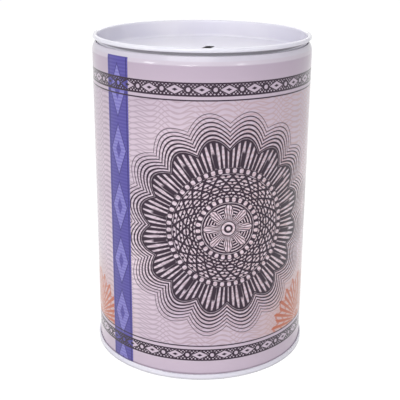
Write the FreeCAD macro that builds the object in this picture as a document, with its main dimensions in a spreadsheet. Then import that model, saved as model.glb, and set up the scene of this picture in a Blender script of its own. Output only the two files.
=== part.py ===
import FreeCAD, Part
import math
import os
import Sketcher

# Tin money box: a round can of printed tinplate with a base seamed on and a lid that presses in.
# Every piece is one sheet, so each is built as a run of straight walls and rolled bends of the
# same thickness. Millimetres, +Z up. The origin is the middle of the foot, the coin slot runs
# along Y, and the side seam of the can is at +Y.

SIZES = {
    # the sheet and the can, which is open at both ends
    "sheet": 0.23,
    "body_radius": 50.0,
    "body_height": 146.7,
    # the can's mouth, bent inwards and hemmed
    "shoulder_bend": 6.1,
    "shoulder_turn": 38.0,
    "hem_gap": 0.24,
    "hem_turn": 24.0,
    # the lock seam down the back of the can
    "lock_width": 5.0,
    "lock_layers": 3.0,
    "lock_clear": 7.0,
    "lock_line": 0.4,
    # the double seam round the base, and the base's recessed panel
    "seam_height": 2.8,
    "seam_gap": 0.04,
    "foot_bend": 0.45,
    "base_recess": 3.8,
    "base_bend": 1.0,
    "step_radius": 38.0,
    "step_bend": 0.6,
    # the lid, which stands lid_lift short of home
    "lid_clearance": 0.2,
    "lid_lift": 1.3,
    "rim_curl": 2.0,
    "curl_turn": 300.0,
    "lid_depth": 7.9,
    "lid_bend": 1.4,
    # the coin slot
    "slot_length": 26.0,
    "slot_width": 4.4,
    "slot_round": 0.1,
}
# a length in mm or a volume in mm3 too small to count
NOTHING = 1e-6

doc = FreeCAD.newDocument("tin_money_box")
sheet = doc.addObject("Spreadsheet::Sheet", "sizes")
for row, (alias, size) in enumerate(SIZES.items(), start=1):
    sheet.set(f"A{row}", alias)
    sheet.set(f"B{row}", str(size))
    sheet.setAlias(f"B{row}", alias)
doc.recompute()


def value(expression):
    """The present value of an expression in the sheet's sizes."""
    return float(sheet.evalExpression(expression))


def new_body(label):
    body = doc.addObject("PartDesign::Body", label)
    body.Label = label
    return body


def new_sketch(body, name, role, height=None):
    """A sketch on one of the body's own planes, lifted by an expression where height is given."""
    sketch = body.newObject("Sketcher::SketchObject", name)
    plane = next(f for f in body.Origin.OriginFeatures if f.Role == role)
    sketch.AttachmentSupport = (plane, "")
    sketch.MapMode = "FlatFace"
    if height:
        sketch.setExpression("AttachmentOffset.Base.z", height)
    return sketch


def join(sketch, line, end, other, other_end):
    sketch.addConstraint(Sketcher.Constraint("Coincident", line, end, other, other_end))


def bind(sketch, expression, *constraint):
    """Adds a measured constraint and ties it to an expression."""
    number = sketch.addConstraint(Sketcher.Constraint(*constraint, value(expression)))
    sketch.setExpression(f"Constraints[{number}]", expression)


def rectangle(sketch, left, right, low, high):
    """Four lines between two bound distances across and two up. A left of None lies on the axis."""
    x0 = value(left) if left else 0.0
    x1, y0, y1 = value(right), value(low), value(high)
    corners = [FreeCAD.Vector(x, y, 0) for x, y in ((x0, y0), (x1, y0), (x1, y1), (x0, y1))]
    for k in range(4):
        sketch.addGeometry(Part.LineSegment(corners[k], corners[(k + 1) % 4]))
    for k in range(4):
        join(sketch, k, 2, (k + 1) % 4, 1)
        sketch.addConstraint(Sketcher.Constraint("Vertical" if k % 2 else "Horizontal", k))
    if left:
        bind(sketch, left, "DistanceX", -1, 1, 3, 1)
    else:
        sketch.addConstraint(Sketcher.Constraint("PointOnObject", 3, 1, -2))
    bind(sketch, right, "DistanceX", -1, 1, 1, 1)
    bind(sketch, low, "DistanceY", -1, 1, 0, 1)
    bind(sketch, high, "DistanceY", -1, 1, 2, 1)


def revolve(body, sketch, name):
    turned = body.newObject("PartDesign::Revolution", name)
    turned.Profile = sketch
    turned.ReferenceAxis = (sketch, ["V_Axis"])
    turned.Angle = 360.0
    doc.recompute()


def wall(body, name, inside, outside, low, high):
    """A straight run of the sheet, upright or flat: a rectangle turned about the axis."""
    sketch = new_sketch(body, f"{name}_section", "XZ_Plane")
    rectangle(sketch, inside, outside, low, high)
    revolve(body, sketch, name)


def bend(body, name, radius, height, outside, start, end):
    """A rolled bend of the sheet: two arcs a sheet apart, turned about the axis.

    The arcs are centred at a radius from the axis and a height, and run anticlockwise from start
    to end, in degrees. Each end is held by the distance, across or up, that its turn changes most.
    """
    sketch = new_sketch(body, f"{name}_section", "XZ_Plane")
    inside = f"{outside} - sizes.sheet"
    centre = FreeCAD.Vector(value(radius), value(height), 0)
    angles = [math.radians(value(str(angle))) for angle in (start, end)]
    for size in (outside, inside):
        circle = Part.Circle(centre, FreeCAD.Vector(0, 0, 1), value(size))
        sketch.addGeometry(Part.ArcOfCircle(circle, *angles))
    join(sketch, 0, 3, 1, 3)
    bind(sketch, radius, "DistanceX", -1, 1, 0, 3)
    bind(sketch, height, "DistanceY", -1, 1, 0, 3)
    bind(sketch, outside, "Radius", 0)
    bind(sketch, inside, "Radius", 1)
    for line, arc_end, angle, turn in ((2, 1, start, angles[0]), (3, 2, end, angles[1])):
        at = "StartPoint" if arc_end == 1 else "EndPoint"
        points = [getattr(sketch.Geometry[arc], at) for arc in (1, 0)]
        sketch.addGeometry(Part.LineSegment(*points))
        join(sketch, line, 1, 1, arc_end)
        join(sketch, line, 2, 0, arc_end)
        for arc, size in enumerate((outside, inside)):
            if abs(math.sin(turn)) > abs(math.cos(turn)):
                reach = f"{radius} + ({size}) * cos(({angle}) * 1 deg)"
                bind(sketch, reach, "DistanceX", -1, 1, arc, arc_end)
            else:
                reach = f"{height} + ({size}) * sin(({angle}) * 1 deg)"
                bind(sketch, reach, "DistanceY", -1, 1, arc, arc_end)
    revolve(body, sketch, name)


def pad(body, sketch, name, length):
    raised = body.newObject("PartDesign::Pad", name)
    raised.Profile = sketch
    raised.setExpression("Length", length)
    doc.recompute()


def pocket(body, sketch, name, length=None, upwards=False):
    """Cuts the sketch out of the body, to a length or right through. Stops if nothing came away."""
    before = body.Shape.Volume
    cut = body.newObject("PartDesign::Pocket", name)
    cut.Profile = sketch
    cut.Reversed = upwards
    if length:
        cut.setExpression("Length", length)
    else:
        cut.Type = "ThroughAll"
    doc.recompute()
    if body.Shape.Volume > before - NOTHING:
        raise RuntimeError(f"{name} cuts nothing")


# Where the sheet lies in the double seam, from the inside out: the base's inner wall, the can's
# wall, the base's hook, the can's hook and the base's outer wall, with seam_gap between the hooks.
can_inside = "sizes.body_radius - sizes.sheet"
can_outside = "sizes.body_radius"
base_hook_inside = "sizes.body_radius + sizes.seam_gap"
base_hook_outside = "sizes.body_radius + sizes.seam_gap + sizes.sheet"
can_hook_inside = "sizes.body_radius + 2 * sizes.seam_gap + sizes.sheet"
can_hook_outside = "sizes.body_radius + 2 * sizes.seam_gap + 2 * sizes.sheet"
seam_inside = "sizes.body_radius + 3 * sizes.seam_gap + 2 * sizes.sheet"
seam_outside = "sizes.body_radius + 3 * sizes.seam_gap + 3 * sizes.sheet"
hook_bend = "(1.5 * sizes.sheet + sizes.seam_gap)"
can_fold_radius = "sizes.body_radius + sizes.seam_gap + sizes.sheet / 2"
can_fold_height = f"sizes.sheet + sizes.seam_gap + {hook_bend}"
base_fold_radius = "sizes.body_radius + 2 * sizes.seam_gap + 1.5 * sizes.sheet"
base_fold_height = f"sizes.seam_height - {hook_bend}"

# The can: one printed sheet rolled round. Its mouth is bent inwards to a shoulder and the edge is
# hemmed back under it, and its foot is folded out and up into the hook that the base holds.
can = new_body("body_shell")
hem_bend = "(sizes.sheet + sizes.hem_gap / 2)"
hem_reach = f"(sizes.shoulder_bend - {hem_bend})"
hem_height = f"(sizes.body_height - {hem_bend})"
shoulder_height = f"{hem_height} - {hem_reach} * sin(sizes.shoulder_turn * 1 deg)"
shoulder_radius = "sizes.body_radius - sizes.shoulder_bend"
hem_radius = f"{shoulder_radius} + {hem_reach} * cos(sizes.shoulder_turn * 1 deg)"
mouth_radius = f"{hem_radius} - {hem_bend}"
wall(can, "can_wall", can_inside, can_outside, can_fold_height, shoulder_height)
bend(can, "shoulder", shoulder_radius, shoulder_height, "sizes.shoulder_bend", 0, "sizes.shoulder_turn")
bend(can, "hem_fold", hem_radius, hem_height, hem_bend, "sizes.shoulder_turn", "sizes.shoulder_turn + 180")
bend(can, "hem_return", shoulder_radius, shoulder_height, f"{hem_reach} - sizes.hem_gap / 2",
     "sizes.shoulder_turn - sizes.hem_turn", "sizes.shoulder_turn")
bend(can, "can_fold", can_fold_radius, can_fold_height, hook_bend, 180, 360)
wall(can, "can_hook", can_hook_inside, can_hook_outside, can_fold_height,
     f"{base_fold_height} - sizes.seam_gap")

# The lock seam: the sheet's two edges hooked into each other and pressed flat, a ridge of extra
# layers inside the can and a fine line outside. It stops short of the shoulder and the base's seam.
lock_foot = "sizes.seam_height + sizes.lock_clear"
lock_height = f"{shoulder_height} - sizes.lock_clear - ({lock_foot})"
ridge = new_sketch(can, "lock_section", "XY_Plane", lock_foot)
rectangle(ridge, "-sizes.lock_width / 2", "sizes.lock_width / 2",
          f"{can_inside} - sizes.lock_layers * sizes.sheet", f"{can_outside} - sizes.sheet / 2")
pad(can, ridge, "lock_ridge", lock_height)
line = new_sketch(can, "lock_line_section", "XY_Plane", lock_foot)
rectangle(line, "sizes.lock_width / 2 - sizes.lock_line", "sizes.lock_width / 2",
          f"{can_outside} - sizes.sheet / 2", f"{can_outside} + sizes.sheet")
pocket(can, line, "lock_groove", lock_height, upwards=True)

# The base: a pressed end whose panel is recessed and stepped. Its edge goes down inside the can,
# under the can's fold, up outside it, and back down between the can's wall and hook.
base = new_body("base_end")
base_inside = f"{can_inside} - sizes.sheet"
panel_edge = f"{can_inside} - sizes.base_bend"
panel_top = "sizes.base_recess + sizes.sheet"
step_rise = "(2 * sizes.step_bend - sizes.sheet)"
step_inner = f"sizes.step_radius - {step_rise}"
foot_inside = f"{base_inside} + sizes.foot_bend"
foot_outside = f"{seam_outside} - sizes.foot_bend"
wall(base, "panel", None, step_inner, f"sizes.base_recess + {step_rise}", f"{panel_top} + {step_rise}")
bend(base, "step_top", step_inner, f"{panel_top} + {step_rise} - sizes.step_bend",
     "sizes.step_bend", 0, 90)
bend(base, "step_foot", "sizes.step_radius", "sizes.base_recess + sizes.step_bend",
     "sizes.step_bend", 180, 270)
wall(base, "panel_ring", "sizes.step_radius", panel_edge, "sizes.base_recess", panel_top)
bend(base, "panel_bend", panel_edge, f"{panel_top} - sizes.base_bend", "sizes.base_bend", 0, 90)
wall(base, "inner_wall", base_inside, can_inside, "sizes.foot_bend", f"{panel_top} - sizes.base_bend")
bend(base, "foot_inner_bend", foot_inside, "sizes.foot_bend", "sizes.foot_bend", 180, 270)
wall(base, "foot", foot_inside, foot_outside, "0", "sizes.sheet")
bend(base, "foot_outer_bend", foot_outside, "sizes.foot_bend", "sizes.foot_bend", 270, 360)
wall(base, "outer_wall", seam_inside, seam_outside, "sizes.foot_bend", base_fold_height)
bend(base, "base_fold", base_fold_radius, base_fold_height, hook_bend, 0, 180)
wall(base, "base_hook", base_hook_inside, base_hook_outside, f"{can_fold_height} + sizes.seam_gap",
     base_fold_height)

# The lid: a drawn cup that plugs the mouth, its rim rolled outwards so that it can't fall in.
# It is drawn with the rim's underside at its own height of 0.
lid = new_body("lid")
plug_outside = f"({mouth_radius} - sizes.lid_clearance)"
plug_inside = f"{plug_outside} - sizes.sheet"
rim_radius = f"{plug_inside} + sizes.rim_curl / 2"
lid_panel_top = "sizes.rim_curl - sizes.lid_depth"
lid_panel_under = f"{lid_panel_top} - sizes.sheet"
lid_corner = f"{plug_outside} - sizes.lid_bend"
lid_corner_height = f"{lid_panel_under} + sizes.lid_bend"
wall(lid, "lid_panel", None, lid_corner, lid_panel_under, lid_panel_top)
bend(lid, "lid_corner", lid_corner, lid_corner_height, "sizes.lid_bend", 270, 360)
wall(lid, "plug_wall", plug_inside, plug_outside, lid_corner_height, "sizes.rim_curl / 2")
bend(lid, "rim_roll", rim_radius, "sizes.rim_curl / 2", "sizes.rim_curl / 2", "180 - sizes.curl_turn", 180)


def stadium(sketch, width, length):
    """A slot outline along Y about the origin: two straight sides and two half rounds."""
    half, reach = value(width) / 2, value(length) / 2 - value(width) / 2
    for side in (1, -1):
        foot = FreeCAD.Vector(side * half, -side * reach, 0)
        head = FreeCAD.Vector(side * half, side * reach, 0)
        sketch.addGeometry(Part.LineSegment(foot, head))
        circle = Part.Circle(FreeCAD.Vector(0, side * reach, 0), FreeCAD.Vector(0, 0, 1), half)
        start = 0.0 if side > 0 else math.pi
        sketch.addGeometry(Part.ArcOfCircle(circle, start, start + math.pi))
    for k in range(4):
        touch = (k, 2, (k + 1) % 4, 1)
        sketch.addConstraint(Sketcher.Constraint("Tangent", *touch))
    sketch.addConstraint(Sketcher.Constraint("Equal", 1, 3))
    sketch.addConstraint(Sketcher.Constraint("Symmetric", 1, 3, 3, 3, -1, 1))
    sketch.addConstraint(Sketcher.Constraint("Vertical", 0))
    bind(sketch, f"({width}) / 2", "Radius", 1)
    bind(sketch, f"({length}) / 2 - ({width}) / 2", "DistanceY", -1, 1, 1, 3)


# The coin slot: pierced through the panel, with its upper edge rounded by the die.
slot = new_sketch(lid, "slot_outline", "XY_Plane")
stadium(slot, "sizes.slot_width", "sizes.slot_length")
pocket(lid, slot, "coin_slot")
pierced = lid.Tip
top = value(lid_panel_top)
edges = []
for number, edge in enumerate(pierced.Shape.Edges, start=1):
    box = edge.BoundBox
    flat = abs(box.ZMin - top) < NOTHING and abs(box.ZMax - top) < NOTHING
    if flat and max(box.XMax, -box.XMin) < value("sizes.slot_width"):
        edges.append(f"Edge{number}")
rounded = lid.newObject("PartDesign::Fillet", "slot_edge")
rounded.Base = (pierced, edges)
rounded.setExpression("Radius", "min(sizes.slot_round; sizes.sheet / 2)")
doc.recompute()

# The lid stands in the mouth with its rim lid_lift above the can's edge.
lid.setExpression("Placement.Base.z", "sizes.body_height + sizes.lid_lift")
doc.recompute()

for item in doc.Objects:
    if "Invalid" in item.State or "Error" in item.State:
        raise RuntimeError(f"{item.Name} failed: {item.State}")
pieces = (can, base, lid)
for piece in pieces:
    if piece.Shape.isNull() or not piece.Shape.isValid() or len(piece.Shape.Solids) != 1:
        raise RuntimeError(f"{piece.Label} is not one sound solid")

os.makedirs("parts", exist_ok=True)
for piece in pieces:
    piece.Shape.exportStep(f"parts/{piece.Label}.step")
    print(piece.Label, round(piece.Shape.Volume, 1), "mm3", piece.Shape.BoundBox)
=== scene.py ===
import math

import bpy
from mathutils import Matrix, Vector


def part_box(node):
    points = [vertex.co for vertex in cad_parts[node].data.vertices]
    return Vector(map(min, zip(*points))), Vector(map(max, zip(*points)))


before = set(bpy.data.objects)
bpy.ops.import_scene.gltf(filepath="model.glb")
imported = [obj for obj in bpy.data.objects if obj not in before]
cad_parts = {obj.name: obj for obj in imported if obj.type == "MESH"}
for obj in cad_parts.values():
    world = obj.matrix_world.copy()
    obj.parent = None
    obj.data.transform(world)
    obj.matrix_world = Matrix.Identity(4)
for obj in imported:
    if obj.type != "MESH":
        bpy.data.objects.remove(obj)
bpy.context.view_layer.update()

# The can: one sheet of tinplate, printed flat by offset lithography, varnished, then rolled up and
# locked down the back. Outside it has engraved ornament in dark taupe, blue and copper inks on a
# lavender ground. Painted shade deepens the ground towards the mouth, a painted sheen makes it paler
# on the shoulder, and it is palest at the mouth's edge. Inside it is bare tin.

# Sizes are in millimetres. FRONT is how far the photographed side is turned from -Y.
MM = 0.001
CAN_RADIUS = 50.0
ROUND = 2 * math.pi * CAN_RADIUS
FRONT = math.radians(20)
SEAM_ACROSS = (math.pi - FRONT) * CAN_RADIUS
SEAM_LAP = 2.4
FOOT_SEAM_TOP = 2.8
PRINT_MIDDLE = 72.8
SHOULDER_FOOT = 142.9
HEM_FOOT = SHOULDER_FOOT + 1.0
PRINT_TOP = 144.6


def srgb(code):
    """A hex colour as the linear RGBA that shaders take."""
    parts = [int(code[k:k + 2], 16) / 255 for k in (1, 3, 5)]
    return [p / 12.92 if p <= 0.04045 else ((p + 0.055) / 1.055) ** 2.4 for p in parts] + [1.0]


PAPER_LIGHT = srgb("#E9D7E1")
PAPER_DEEP = srgb("#D5C3D1")
PAPER_HEAD_SHADE = srgb("#BCABBD")
PAPER_FOOT = srgb("#CBBACB")
PAPER_SHOULDER_SHEEN = srgb("#D0C6D3")
PALE_COAT = srgb("#D1CBD8")
TAUPE = srgb("#2A132A")
SOFT_TAUPE = srgb("#9C8799")
WARM_TAUPE = srgb("#C39A94")
BLUE = srgb("#4B4196")
BLUE_THREAD = srgb("#5A51A6")
PALE_BLUE = srgb("#8C86CC")
PALE_BLUE_THREAD = srgb("#726BBC")
DEEP_BLUE = srgb("#352C78")
COPPER = srgb("#C4694A")
PEACH = srgb("#DDB4A6")
SEAM_SHADE = srgb("#7B6F7C")
TIN_DULL = srgb("#C9C8C4")
TIN_BRIGHT = srgb("#DAD9D6")
# Most of a noise lies in the broad span. The narrow one gives clouds more contrast.
BROAD_SPAN = (0.3, 0.7)
NARROW_SPAN = (0.35, 0.65)


def node(tree, kind, inputs=(), **settings):
    """Adds a shader node with its settings, and links or sets its inputs, in order or by name."""
    made = tree.nodes.new("ShaderNode" + kind)
    for name, setting in settings.items():
        setattr(made, name, setting)
    for key, given in inputs.items() if isinstance(inputs, dict) else enumerate(inputs):
        if isinstance(given, bpy.types.Node):
            given = given.outputs[0]
        if isinstance(given, bpy.types.NodeSocket):
            tree.links.new(given, made.inputs[key])
        else:
            made.inputs[key].default_value = given
    return made


def new_material(name):
    """An empty material and its node tree."""
    material = bpy.data.materials.new(name)
    material.use_nodes = True
    material.node_tree.nodes.clear()
    return material, material.node_tree


def dress(name, material):
    """Puts a material on the CAD node of that name."""
    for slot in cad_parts[name].material_slots:
        slot.material = material


def place_in_mm(tree):
    """Where a point of the surface is, in millimetres, as a vector."""
    where = node(tree, "TexCoord").outputs["Object"]
    return node(tree, "VectorMath", {0: where, "Scale": 1 / MM}, operation="SCALE").outputs[0]


def beyond(tree, distance, low, soft):
    """0 below low and 1 above it, fading over soft."""
    return node(tree, "MapRange", (distance, low - soft / 2, low + soft / 2))


def up_to(tree, distance, high, soft):
    """1 below high and 0 above it, fading over soft."""
    return node(tree, "MapRange", (distance, high - soft / 2, high + soft / 2, 1.0, 0.0))


def between(tree, distance, low, high, soft):
    """1 from low to high and 0 outside, fading over soft at either edge."""
    return only(tree, beyond(tree, distance, low, soft), up_to(tree, distance, high, soft))


def wave(tree, distance, pitch):
    """A smooth wave from -1 to 1 and back over every pitch of a distance."""
    phase = node(tree, "Math", (distance, 2 * math.pi / pitch), operation="MULTIPLY")
    return node(tree, "Math", (phase,), operation="SINE")


def stripes(tree, distance, pitch):
    """The same wave, from 0 to 1 and back."""
    return node(tree, "Math", (wave(tree, distance, pitch), 0.5, 0.5), operation="MULTIPLY_ADD")


def engraved(tree, tone, lines, soft=0.15):
    """Line work: inked where the lines, a wave from 0 to 1, lie below the tone."""
    depth = node(tree, "Math", (tone, lines), operation="SUBTRACT")
    return node(tree, "MapRange", (depth, -soft, soft))


def swaying(tree, distance, along, swing, pitch):
    """A distance that swings to and fro along another one, for lines that wave."""
    return node(tree, "Math", (wave(tree, along, pitch), swing, distance), operation="MULTIPLY_ADD")


def apart(tree, distance, mark):
    """How far a distance is from a mark, either way."""
    offset = node(tree, "Math", (distance, mark), operation="SUBTRACT")
    return node(tree, "Math", (offset,), operation="ABSOLUTE")


def from_nearer(tree, distance, marks):
    """How far a distance is from the nearer of two marks."""
    gaps = [apart(tree, distance, mark) for mark in marks]
    return node(tree, "Math", gaps, operation="MINIMUM")


def from_repeat(tree, distance, pitch):
    """How far a distance is from the nearest of the marks that stand a pitch apart."""
    offset = node(tree, "Math", (distance, -pitch / 2, pitch / 2), operation="WRAP")
    return node(tree, "Math", (offset,), operation="ABSOLUTE")


def from_centre(tree, sideways, rise):
    """How far out a point is from a centre, and at what angle."""
    square = node(tree, "Math", (sideways, sideways), operation="MULTIPLY")
    square = node(tree, "Math", (rise, rise, square), operation="MULTIPLY_ADD")
    out = node(tree, "Math", (square, 0.5), operation="POWER")
    angle = node(tree, "Math", (rise, sideways), operation="ARCTAN2")
    return out, angle


def both(tree, first, second):
    """Two covers of ink on one plate: bare only where both are bare."""
    return node(tree, "Math", (first, second), operation="MAXIMUM")


def only(tree, cover, share):
    """A cover of ink kept to a place, or thinned to a share."""
    return node(tree, "Math", (cover, share), operation="MULTIPLY")


def bare(tree, cover):
    """What a cover of ink leaves bare."""
    return node(tree, "Math", (1.0, cover), operation="SUBTRACT")


def over(tree, below, cover, colour):
    """One ink printed over another, where it covers."""
    return node(tree, "Mix", {0: cover, 6: below, 7: colour}, data_type="RGBA").outputs[2]


varnished_print, tree = new_material("varnished_litho_print")
place = place_in_mm(tree)
x, y, height = node(tree, "SeparateXYZ", (place,)).outputs
forwards = node(tree, "Math", (y, -1.0), operation="MULTIPLY")
turn = node(tree, "Math", (x, forwards), operation="ARCTAN2")
# Distance round the can from the photographed front, to the right. It starts again at the seam.
past_front = node(tree, "Math", (turn, FRONT), operation="SUBTRACT")
unrolled = node(tree, "Math", (past_front, CAN_RADIUS), operation="MULTIPLY")
across = node(tree, "Math", (unrolled, SEAM_ACROSS - ROUND, SEAM_ACROSS), operation="WRAP")
from_middle = apart(tree, height, PRINT_MIDDLE)


def paper_ground(tree):
    """The lavender ground: soft clouds, painted shade that deepens it towards the mouth, a deeper tint
    towards the foot, a painted sheen that makes it paler on the shoulder, and fine waving lines in a tint
    that warms to the right.
    """
    cloud_size, even_half, shoulder_soft = 45.0, 20.0, 0.6
    line_pitch, line_tone, line_share = 2.4, 0.16, 0.55
    swing, waves = 2.6, 9
    ripple, rising_ripples, falling_ripples = 1.1, 26, 22
    lines_half, lines_soft = 56.0, 0.4
    cool_side, warm_side = -30.0, 50.0

    cloud = node(tree, "TexNoise", {"Vector": place, "Scale": 1 / cloud_size, "Detail": 2.0})
    clouds = node(tree, "MapRange", (cloud, *NARROW_SPAN))
    colour = over(tree, PAPER_LIGHT, clouds, PAPER_DEEP)
    # Painted shade: the ground deepens towards the mouth.
    shade_towards_mouth = node(tree, "MapRange", (height, PRINT_MIDDLE + even_half, SHOULDER_FOOT))
    colour = over(tree, colour, shade_towards_mouth, PAPER_HEAD_SHADE)
    towards_foot = node(tree, "MapRange", (height, PRINT_MIDDLE - even_half, 0.0))
    colour = over(tree, colour, towards_foot, PAPER_FOOT)
    # Painted sheen: the ground turns paler on the shoulder, which faces up into the light.
    sheen_on_shoulder = beyond(tree, height, SHOULDER_FOOT, shoulder_soft)
    colour = over(tree, colour, sheen_on_shoulder, PAPER_SHOULDER_SHEEN)

    sets = []
    for sway, ripples in ((swing, rising_ripples), (-swing, falling_ripples)):
        line = swaying(tree, height, across, sway, ROUND / waves)
        line = swaying(tree, line, across, ripple, ROUND / ripples)
        sets.append(engraved(tree, line_tone, stripes(tree, line, line_pitch)))
    lines = only(tree, both(tree, *sets), up_to(tree, from_middle, lines_half, lines_soft))
    side = node(tree, "MapRange", (across, cool_side, warm_side))
    tint = over(tree, SOFT_TAUPE, side, WARM_TAUPE)
    return over(tree, colour, only(tree, lines, line_share), tint)


def copper_fans(tree, colour):
    """Half suns of copper rays that stand on the lower border, in a peach wash."""
    centres, foot, foot_soft = (-64.0, 60.0), 16.9, 0.4
    reach, sun_radius, sun_soft = 24.0, 3.4, 0.3
    wash_inner, wash_outer, wash_share = reach * 0.5, reach * 1.5, 0.7
    rays, ray_start, dark_tone, light_tone = 22, 4.0, 0.9, 0.45
    scallops, scallop_depth, scallop_soft = 11, 3.0, 0.4
    ring_pitch, ring_share, ring_soft = 5.2, 0.14, 0.1

    sideways = from_nearer(tree, across, centres)
    rise = node(tree, "Math", (height, foot), operation="SUBTRACT")
    out, angle = from_centre(tree, sideways, rise)
    above = beyond(tree, rise, 0.0, foot_soft)
    wash = node(tree, "MapRange", (out, wash_inner, wash_outer, wash_share, 0.0))
    colour = over(tree, colour, only(tree, wash, above), PEACH)
    lobes = stripes(tree, angle, math.pi / scallops)
    scalloped = node(tree, "Math", (lobes, -scallop_depth, out), operation="MULTIPLY_ADD")
    tone = node(tree, "MapRange", (out, ray_start, reach, dark_tone, light_tone))
    lines = engraved(tree, tone, stripes(tree, angle, math.pi / rays))
    rings = between(tree, stripes(tree, scalloped, ring_pitch), 0.0, ring_share, ring_soft)
    fan = between(tree, scalloped, scallop_depth, reach - scallop_depth, scallop_soft)
    cover = only(tree, both(tree, lines, rings), fan)
    cover = both(tree, cover, up_to(tree, out, sun_radius, sun_soft))
    return over(tree, colour, only(tree, cover, above), COPPER)


# The parts of a medallion, from the outside in. Their sizes are shares of its radius.


def petals(tree, out, angle):
    """Shaded petals round the outside, and rings of lines that fade out beyond them."""
    count, inner, root, tip = 16, 0.68, 0.87, 1.0
    halo_reach, halo_soft, halo_pitch = 0.3, 0.02, 0.046
    faint_at, faint_tone, full_tone = 0.32, 0.05, 0.62
    shade_lines, dark_tone, light_tone = 96, 0.92, 0.14
    light_inner, light_outer, light_soft = 0.74, 0.9, 0.16
    outline, outline_soft = 0.028, 0.012
    vein_outer, vein_edge, vein_soft = 0.86, 0.96, 0.04
    edge_soft = 0.01

    lobe = node(tree, "Math", (wave(tree, angle, 4 * math.pi / count),), operation="ABSOLUTE")
    rim = node(tree, "Math", (lobe, tip - root, root), operation="MULTIPLY_ADD")
    inwards = node(tree, "Math", (rim, out), operation="SUBTRACT")
    fading = node(tree, "MapRange", (inwards, -faint_at, 0.0, faint_tone, full_tone))
    halo = engraved(tree, fading, stripes(tree, inwards, halo_pitch))
    halo = only(tree, halo, between(tree, inwards, -halo_reach, 0.0, halo_soft))
    light = only(tree, lobe, between(tree, out, light_inner, light_outer, light_soft))
    tone = node(tree, "Math", (light, light_tone - dark_tone, dark_tone), operation="MULTIPLY_ADD")
    shading = engraved(tree, tone, stripes(tree, angle, 2 * math.pi / shade_lines))
    shading = both(tree, shading, between(tree, inwards, 0.0, outline, outline_soft))
    vein = only(tree, beyond(tree, lobe, vein_edge, vein_soft),
                between(tree, out, inner, vein_outer, vein_soft))
    shading = only(tree, both(tree, shading, vein), beyond(tree, inwards, 0.0, edge_soft))
    return only(tree, both(tree, halo, shading), beyond(tree, out, inner, edge_soft))


def lattice(tree, out, angle):
    """Two sets of spirals that cross, a spot in each diamond, and rings of hatching behind."""
    inner, outer, edge_soft = 0.36, 0.62, 0.01
    spiral_count, bar_edge, bar_soft = 24, 0.13, 0.08
    spot_edge, spot_soft = 0.82, 0.1
    hatch_pitch, dark_tone, light_tone = 0.036, 0.62, 0.22

    swirl = node(tree, "Math", (out, math.e), operation="LOGARITHM")
    one_way = node(tree, "Math", (angle, swirl), operation="ADD")
    other_way = node(tree, "Math", (angle, swirl), operation="SUBTRACT")
    spirals = [stripes(tree, way, 2 * math.pi / spiral_count) for way in (one_way, other_way)]
    bars = up_to(tree, node(tree, "Math", spirals, operation="MINIMUM"), bar_edge, bar_soft)
    spots = beyond(tree, node(tree, "Math", spirals, operation="MULTIPLY"), spot_edge, spot_soft)
    tone = node(tree, "MapRange", (out, inner, outer, dark_tone, light_tone))
    hatching = engraved(tree, tone, stripes(tree, out, hatch_pitch))
    cover = both(tree, both(tree, bars, spots), hatching)
    return only(tree, cover, between(tree, out, inner, outer, edge_soft))


def beads(tree, out, angle):
    """Two rings of pale beads on dark bands, outside and inside the lattice."""
    rings = ((0.65, 52), (0.33, 28))
    half_band, band_soft = 0.034, 0.01
    half_bead, bead_soft = 0.024, 0.02
    bead_edge, bead_edge_soft = 0.42, 0.2

    covers = []
    for middle, count in rings:
        strand = stripes(tree, angle, 2 * math.pi / count)
        bead = only(tree, strand, between(tree, out, middle - half_bead, middle + half_bead, bead_soft))
        band = between(tree, out, middle - half_band, middle + half_band, band_soft)
        covers.append(only(tree, band, bare(tree, beyond(tree, bead, bead_edge, bead_edge_soft))))
    return both(tree, *covers)


def flower(tree, out, angle):
    """The flower in the middle: leaves shaded towards a ringed eye, on a ground of fine rings."""
    radius, edge_soft = 0.3, 0.01
    leaves, leaf_foot, leaf_tip, leaf_soft = 8, 0.115, 0.285, 0.008
    ground_tone, ground_pitch = 0.72, 0.032
    shade_lines, shade_inner, shade_outer, dark_tone, light_tone = 48, 0.06, 0.26, 0.75, 0.1
    line_outside, line_inside = -0.002, 0.014
    eye_radius, eye_pitch, eye_edge, eye_soft = 0.085, 0.05, 0.5, 0.2

    leaf = node(tree, "Math", (angle, leaves / 2), operation="MULTIPLY")
    leaf = node(tree, "Math", (leaf,), operation="COSINE")
    leaf = node(tree, "Math", (leaf,), operation="ABSOLUTE")
    edge = node(tree, "Math", (leaf, leaf_tip - leaf_foot, leaf_foot), operation="MULTIPLY_ADD")
    inside = node(tree, "Math", (edge, out), operation="SUBTRACT")
    ground = engraved(tree, ground_tone, stripes(tree, out, ground_pitch))
    tone = node(tree, "MapRange", (out, shade_inner, shade_outer, dark_tone, light_tone))
    shading = engraved(tree, tone, stripes(tree, angle, 2 * math.pi / shade_lines))
    cover = over(tree, ground, beyond(tree, inside, 0.0, leaf_soft), shading)
    cover = both(tree, cover, between(tree, inside, line_outside, line_inside, leaf_soft))
    eye = up_to(tree, stripes(tree, out, eye_pitch), eye_edge, eye_soft)
    cover = over(tree, cover, up_to(tree, out, eye_radius, edge_soft), eye)
    return only(tree, cover, up_to(tree, out, radius, edge_soft))


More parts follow.
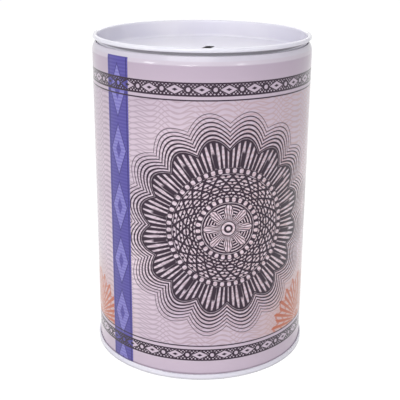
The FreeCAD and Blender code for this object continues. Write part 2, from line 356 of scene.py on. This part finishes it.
def medallions(tree, colour):
    """Three engraved medallions, the largest on the front and one towards each side of the back."""
    front_centre, right_centre, left_centre = 12.0, 98.0, -112.0
    front_start, front_end = -60.0, 63.0
    front_radius, side_radius = 40.0, 30.0
    to_right, to_left = right_centre - front_centre, left_centre - front_centre

    right = node(tree, "Math", (across, front_end), operation="GREATER_THAN")
    left = node(tree, "Math", (across, front_start), operation="LESS_THAN")
    aside = node(tree, "Math", (right, left), operation="ADD")
    centre = node(tree, "Math", (right, to_right, front_centre), operation="MULTIPLY_ADD")
    centre = node(tree, "Math", (left, to_left, centre), operation="MULTIPLY_ADD")
    shrink = side_radius - front_radius
    radius = node(tree, "Math", (aside, shrink, front_radius), operation="MULTIPLY_ADD")
    sideways = node(tree, "Math", (across, centre), operation="SUBTRACT")
    rise = node(tree, "Math", (height, PRINT_MIDDLE), operation="SUBTRACT")
    out, angle = from_centre(tree, sideways, rise)
    out = node(tree, "Math", (out, radius), operation="DIVIDE")
    cover = petals(tree, out, angle)
    for ornament in (lattice, beads, flower):
        cover = both(tree, cover, ornament(tree, out, angle))
    return over(tree, colour, cover, TAUPE)


def blue_ribbons(tree, colour):
    """Two woven-looking bands from rim to foot, with pale lozenges and fine cross lines."""
    centres, half, band_soft = (-40.0, -160.0), 6.6, 0.3
    weave, weave_tone, weave_soft = 1.5, 0.5, 0.5
    edge_inner, edge_outer, edge_soft = half - 1.3, half - 0.7, 0.25
    pitch, half_height, half_width = 26.0, 11.0, 4.6
    heart, lozenge_soft = 4.0, 0.8
    line, line_soft = 1.0, 0.5

    off = from_nearer(tree, across, centres)
    step = from_repeat(tree, height, pitch)
    lozenge = node(tree, "Math", (off, half_height / half_width, step), operation="MULTIPLY_ADD")
    threads = engraved(tree, weave_tone, stripes(tree, height, weave), weave_soft)
    band = up_to(tree, off, half, band_soft)
    colour = over(tree, colour, band, over(tree, BLUE, threads, BLUE_THREAD))
    pale = only(tree, between(tree, lozenge, heart, half_height, lozenge_soft), band)
    colour = over(tree, colour, pale, over(tree, PALE_BLUE, threads, PALE_BLUE_THREAD))
    edge = between(tree, off, edge_inner, edge_outer, edge_soft)
    outline = between(tree, lozenge, half_height, half_height + line, line_soft)
    return over(tree, colour, only(tree, both(tree, edge, outline), band), DEEP_BLUE)


def chain_borders(tree, colour):
    """A dark cross-hatched band above and below, with a chain of pale lozenges, and a fine rule."""
    inner, outer, band_soft = 57.6, 63.4, 0.15
    half_band, middle = (outer - inner) / 2, (inner + outer) / 2
    links, lines_per_link, hatch_tone = 28, 7, 0.46
    pitch = ROUND / links
    hatch_pitch = pitch / lines_per_link
    half_length, half_height, outline, pip, lozenge_soft = 4.6, 2.3, 1.0, 1.3, 0.3
    stud_square, stud_soft = 0.8, 0.3
    ring_square, ring_soft = 2.8, 0.4
    edge, edge_soft = 0.75, 0.2
    rule_low, rule_high, rule_soft = inner - 1.9, inner - 1.3, 0.2

    sets = []
    for slant in ("ADD", "SUBTRACT"):
        line = node(tree, "Math", (across, height), operation=slant)
        sets.append(engraved(tree, hatch_tone, stripes(tree, line, hatch_pitch)))
    along = from_repeat(tree, across, pitch)
    drop = apart(tree, from_middle, middle)
    lozenge = node(tree, "Math", (drop, half_length / half_height, along), operation="MULTIPLY_ADD")
    # a stud stands between two lozenges, and its sizes are squares of its radii
    link = node(tree, "Math", (along, -1.0, pitch / 2), operation="MULTIPLY_ADD")
    stud = node(tree, "Math", (drop, drop), operation="MULTIPLY")
    stud = node(tree, "Math", (link, link, stud), operation="MULTIPLY_ADD")
    pale = both(tree, up_to(tree, lozenge, half_length - outline, lozenge_soft),
                up_to(tree, stud, stud_square, stud_soft))
    dark = both(tree, between(tree, lozenge, half_length - outline, half_length, lozenge_soft),
                between(tree, stud, stud_square, ring_square, ring_soft))
    cover = only(tree, both(tree, both(tree, *sets), dark), bare(tree, pale))
    cover = both(tree, cover, up_to(tree, lozenge, pip, lozenge_soft))
    cover = both(tree, cover, between(tree, drop, half_band - edge, half_band, edge_soft))
    cover = only(tree, cover, between(tree, from_middle, inner, outer, band_soft))
    rule = between(tree, from_middle, rule_low, rule_high, rule_soft)
    return over(tree, colour, both(tree, cover, rule), TAUPE)


colour = paper_ground(tree)
for plate in (copper_fans, medallions, blue_ribbons, chain_borders):
    colour = plate(tree, colour)
# The sheet is left unprinted at the mouth's edge, and for the lap where its two edges lock.
LAP_SOFT = 0.3
MARGIN_SOFT = 0.25
from_opposite = apart(tree, across, SEAM_ACROSS - ROUND / 2)
lap = beyond(tree, from_opposite, ROUND / 2 - SEAM_LAP, LAP_SOFT)
margin = beyond(tree, height, PRINT_TOP, MARGIN_SOFT)
colour = over(tree, colour, both(tree, lap, margin), PALE_COAT)
# A fine dark line of painted shade lies where the wall goes into the foot's seam.
SEAM_SHADE_TOP = FOOT_SEAM_TOP + 0.5
SEAM_SHADE_SOFT = 0.3
SEAM_SHADE_SHARE = 0.45
seam_shade_line = up_to(tree, height, SEAM_SHADE_TOP, SEAM_SHADE_SOFT)
colour = over(tree, colour, only(tree, seam_shade_line, SEAM_SHADE_SHARE), SEAM_SHADE)

# Clear varnish over the inks: glossy, with the faint orange peel of a stoved coat and the slow
# waviness of a rolled sheet. The peel is drawn coarser than the real 0.3 mm, so that it shows.
PEEL_SIZE, PEEL_DEPTH = 1.4, 0.05
WAVE_SIZE, WAVE_DEPTH = 28.0, 0.5
PRINT_ROUGHNESS = (0.3, 0.38)
peel = node(tree, "TexNoise", {"Vector": place, "Scale": 1 / PEEL_SIZE, "Detail": 1.0})
waviness = node(tree, "TexNoise", {"Vector": place, "Scale": 1 / WAVE_SIZE, "Detail": 1.0})
slow = node(tree, "Bump", {"Strength": 0.25, "Distance": WAVE_DEPTH * MM, "Height": waviness})
fine = node(tree, "Bump", {"Strength": 0.04, "Distance": PEEL_DEPTH * MM, "Height": peel, "Normal": slow})
roughness = node(tree, "MapRange", (waviness, *BROAD_SPAN, *PRINT_ROUGHNESS))
print_skin = node(tree, "BsdfPrincipled", {
    "Base Color": colour, "Roughness": roughness, "Specular IOR Level": 0.15, "Normal": fine,
    "Coat Weight": 0.6, "Coat Roughness": 0.12, "Coat Normal": fine})


def bare_tin(tree, place):
    """Electrolytic tinplate: pale grey metal with a soft spangle and fine lines from the mill.

    The lines run up the can, and are drawn coarser than the real ones, so that they show."""
    spangle_size, mill_size, mill_length = 9.0, 0.8, 50.0
    roughness = (0.3, 0.46)
    grain = (1 / mill_size, 1 / mill_size, 1 / mill_length)
    spangle = node(tree, "TexVoronoi", {"Vector": place, "Scale": 1 / spangle_size})
    mill = node(tree, "VectorMath", (place, grain), operation="MULTIPLY")
    lines = node(tree, "TexNoise", {"Vector": mill, "Scale": 1.0, "Detail": 2.0})
    tint = over(tree, TIN_DULL, spangle.outputs["Color"], TIN_BRIGHT)
    rough = node(tree, "MapRange", (lines, *BROAD_SPAN, *roughness))
    return node(tree, "BsdfPrincipled", {"Base Color": tint, "Metallic": 1.0, "Roughness": rough})


def off_axis(tree, place):
    """The vector to a point from the can's axis, in millimetres."""
    return node(tree, "VectorMath", (place, (1.0, 1.0, 0.0)), operation="MULTIPLY")


# The coated side is the one that faces away from the axis, and all of the hem.
facing = node(tree, "TexCoord").outputs["Normal"]
spoke = off_axis(tree, place)
outwards = node(tree, "VectorMath", (facing, spoke), operation="DOT_PRODUCT").outputs["Value"]
inner_side = node(tree, "Math", (outwards, 0.0), operation="LESS_THAN")
below_hem = node(tree, "Math", (height, HEM_FOOT), operation="LESS_THAN")
skin = node(tree, "MixShader", (only(tree, inner_side, below_hem), print_skin, bare_tin(tree, place)))
node(tree, "OutputMaterial", (skin,))
dress("body_shell", varnished_print)

# The base: a pressed tinplate end, its edge folded round the foot of the can as a double seam.
# Underneath and on the seam it has white stoving enamel, with painted shade at the lower edge of the
# foot, and the face inside the can is bare tin.
BASE_PANEL_RADIUS = 48.7
FOOT_SHADE_TOP = 0.9
FOOT_SHADE_SOFT = 0.8
FOOT_SHADE_SHARE = 0.7
FOOT_SHADE = srgb("#B9B7BC")
ENAMEL = srgb("#EEECF5")
ENAMEL_SHADE = srgb("#E7E5F1")
UP, DOWN = 1.0, -1.0


def from_axis(tree, place):
    """How far a point is from the can's axis, in millimetres."""
    return node(tree, "VectorMath", (off_axis(tree, place),), operation="LENGTH").outputs["Value"]


def panel_side(tree, place, way, radius):
    """1 on the side of an end's panel that looks up or down, as far out as a radius, and 0 elsewhere."""
    level, edge_soft = 0.3, 0.05
    rise = node(tree, "SeparateXYZ", (node(tree, "TexCoord").outputs["Normal"],)).outputs["Z"]
    towards = node(tree, "Math", (rise, way), operation="MULTIPLY")
    looks = node(tree, "Math", (towards, level), operation="GREATER_THAN")
    return only(tree, looks, up_to(tree, from_axis(tree, place), radius, edge_soft))


def stoving_enamel(name, bare_way, bare_radius):
    """White stoving enamel: even, softly glossy, with a little mottle and orange peel.

    One side of the panel is left as bare tin. The peel is drawn coarser than the real 0.3 mm."""
    material, tree = new_material(name)
    place = place_in_mm(tree)
    mottle_size, peel_size, peel_depth = 22.0, 1.6, 0.05
    roughness = (0.14, 0.2)
    mottle = node(tree, "TexNoise", {"Vector": place, "Scale": 1 / mottle_size, "Detail": 3.0})
    clouds = node(tree, "MapRange", (mottle, *NARROW_SPAN))
    coat = over(tree, ENAMEL, clouds, ENAMEL_SHADE)
    peel = node(tree, "TexNoise", {"Vector": place, "Scale": 1 / peel_size, "Detail": 1.0})
    bump = node(tree, "Bump", {"Strength": 0.05, "Distance": peel_depth * MM, "Height": peel})
    rough = node(tree, "MapRange", (mottle, *BROAD_SPAN, *roughness))
    enamel = node(tree, "BsdfPrincipled", {"Base Color": coat, "Roughness": rough, "Normal": bump})
    uncoated = panel_side(tree, place, bare_way, bare_radius)
    skin = node(tree, "MixShader", (uncoated, enamel, bare_tin(tree, place)))
    return material, tree, place, skin


base_enamel, tree, place, skin = stoving_enamel("white_stoving_enamel_base", UP, BASE_PANEL_RADIUS)
# The lower edge of the foot is painted a dull grey: painted shade where it stands on the table.
height = node(tree, "SeparateXYZ", (place,)).outputs["Z"]
foot_shade_mask = only(tree, up_to(tree, height, FOOT_SHADE_TOP, FOOT_SHADE_SOFT), FOOT_SHADE_SHARE)
painted_foot_shade = node(tree, "BsdfPrincipled", {"Base Color": FOOT_SHADE, "Roughness": 0.6})
node(tree, "OutputMaterial", (node(tree, "MixShader", (foot_shade_mask, skin, painted_foot_shade)),))
dress("base_end", base_enamel)

# The lid: a shallow cup drawn from the same sheet, pressed part of the way into the mouth, its rim
# rolled outwards. It is enamelled white, and the underside of its panel is bare tin.
LID_PLUG_RADIUS = 47.95
RIM_CURL = 2.0
RIM_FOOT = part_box("lid")[1][2] / MM - RIM_CURL
RIM_SHADE_DEEP = 1.3
RIM_SHADE_THIN = 0.3
RIM_SHADE_TO_FRONT = (0.35, 0.85)
RIM_SHADE_RISE = 0.5
RIM_SHADE_SOFT = 0.4
RIM_SHADE_INNER = LID_PLUG_RADIUS - 0.2
RIM_SHADE_OUTER = LID_PLUG_RADIUS + 0.5
RIM_SHADE_EDGE_SOFT = 0.1
RIM_SHADE = srgb("#96939B")

lid_enamel, tree, place, skin = stoving_enamel("white_stoving_enamel_lid", DOWN, LID_PLUG_RADIUS)
# A dull grey line of painted shade lies in the corner under the rolled rim, deepest at the
# front.
height = node(tree, "SeparateXYZ", (place,)).outputs["Z"]
to_front = (math.sin(FRONT) / LID_PLUG_RADIUS, -math.cos(FRONT) / LID_PLUG_RADIUS, 0.0)
frontness = node(tree, "VectorMath", (place, to_front), operation="DOT_PRODUCT").outputs["Value"]
depth = node(tree, "MapRange", (frontness, *RIM_SHADE_TO_FRONT, RIM_SHADE_THIN, RIM_SHADE_DEEP))
below_rim = node(tree, "Math", (RIM_FOOT, height), operation="SUBTRACT")
spare = node(tree, "Math", (depth, below_rim), operation="SUBTRACT")
on_wall = between(tree, from_axis(tree, place), RIM_SHADE_INNER, RIM_SHADE_OUTER, RIM_SHADE_EDGE_SOFT)
rim_shade_mask = only(tree, beyond(tree, spare, 0.0, RIM_SHADE_SOFT), on_wall)
rim_shade_mask = only(tree, rim_shade_mask, beyond(tree, below_rim, -RIM_SHADE_RISE, RIM_SHADE_SOFT))
painted_rim_shade = node(tree, "BsdfPrincipled", {"Base Color": RIM_SHADE, "Roughness": 0.6})
node(tree, "OutputMaterial", (node(tree, "MixShader", (rim_shade_mask, skin, painted_rim_shade)),))
dress("lid", lid_enamel)

# The table under the tin: matt white paper that shows as the plain white of the background, and
# keeps a faint shadow where the tin stands.
FLOOR_SPAN = 6.0
PAPER_GLOW = 1.12
GLOW_SHARE = 0.86
bpy.ops.mesh.primitive_plane_add(size=FLOOR_SPAN)
floor = bpy.context.object
floor.name = "studio_floor"
white_paper, tree = new_material("white_studio_paper")


def seen_directly(tree):
    """1 for rays that show the background itself: to the camera, in gloss or through glass."""
    rays = node(tree, "LightPath").outputs
    seen = node(tree, "Math", (rays["Is Camera Ray"], rays["Is Glossy Ray"]), operation="MAXIMUM")
    return node(tree, "Math", (seen, rays["Is Transmission Ray"]), operation="MAXIMUM")


matt = node(tree, "BsdfDiffuse", (srgb("#F4F4F6"),))
glow = node(tree, "Emission", (srgb("#FFFFFF"), PAPER_GLOW))
share = only(tree, seen_directly(tree), GLOW_SHARE)
node(tree, "OutputMaterial", (node(tree, "MixShader", (share, matt, glow)),))
floor.data.materials.append(white_paper)

# Soft studio light: a white surround, a broad lamp over the front, three small low ones whose glints
# show on the can's shoulder, and a broad lamp behind.
SURROUND_RISE = (-0.2, 0.9)
SURROUND_GLOW = (0.2, 0.5)
AIM_HEIGHT = 0.075
world = bpy.data.worlds.new("studio_surround")
bpy.context.scene.world = world
world.use_nodes = True
tree = world.node_tree
tree.nodes.clear()
up = node(tree, "SeparateXYZ", (node(tree, "TexCoord").outputs["Generated"],)).outputs["Z"]
overhead = node(tree, "MapRange", (up, *SURROUND_RISE, *SURROUND_GLOW))
dim = node(tree, "Background", (srgb("#FFFFFF"), overhead))
white = node(tree, "Background", (srgb("#FFFFFF"), 1.0))
node(tree, "OutputWorld", (node(tree, "MixShader", (seen_directly(tree), dim, white)),))


def lamp(name, turn, elevation, distance, width, depth, watts):
    """A soft box aimed at the middle of the tin. Degrees, metres and watts."""
    light = bpy.data.lights.new(name, "AREA")
    light.shape = "RECTANGLE"
    light.size = width
    light.size_y = depth
    light.energy = watts
    box = bpy.data.objects.new(name, light)
    bpy.context.collection.objects.link(box)
    swung = Matrix.Rotation(math.radians(turn), 4, "Z")
    tipped = Matrix.Rotation(math.radians(90 - elevation), 4, "X")
    middle = Matrix.Translation((0, 0, AIM_HEIGHT))
    box.matrix_world = middle @ swung @ tipped @ Matrix.Translation((0, 0, distance))


lamp("key_soft_box", turn=5, elevation=44, distance=1.0, width=0.7, depth=0.7, watts=4.65)
lamp("front_strip", turn=8, elevation=8, distance=0.9, width=0.18, depth=0.08, watts=0.6)
lamp("left_strip", turn=-33, elevation=7, distance=0.9, width=0.16, depth=0.1, watts=0.55)
lamp("right_strip", turn=59, elevation=7, distance=0.9, width=0.14, depth=0.08, watts=0.4)
lamp("back_soft_box", turn=200, elevation=36, distance=1.1, width=0.8, depth=0.8, watts=3.0)

# The photograph's view: from the front, a little above the lid, with a lens of moderate length.
# Millimetres and degrees.
SENSOR_WIDTH = 36.0
LENS = 76.25
DISTANCE = 389.9
HEIGHT = 200.6
ASIDE = -0.42
PITCH = 18.60
ROLL = 0.45
camera = bpy.data.objects.new("camera", bpy.data.cameras.new("camera"))
bpy.context.collection.objects.link(camera)
camera.data.lens = LENS
camera.data.sensor_width = SENSOR_WIDTH
stand = Matrix.Rotation(FRONT, 4, "Z") @ Matrix.Translation((ASIDE * MM, -DISTANCE * MM, HEIGHT * MM))
camera.matrix_world = (stand @ Matrix.Rotation(math.radians(90 - PITCH), 4, "X")
                       @ Matrix.Rotation(math.radians(ROLL), 4, "Z"))
bpy.context.scene.camera = camera
bpy.context.scene.view_settings.view_transform = "Standard"
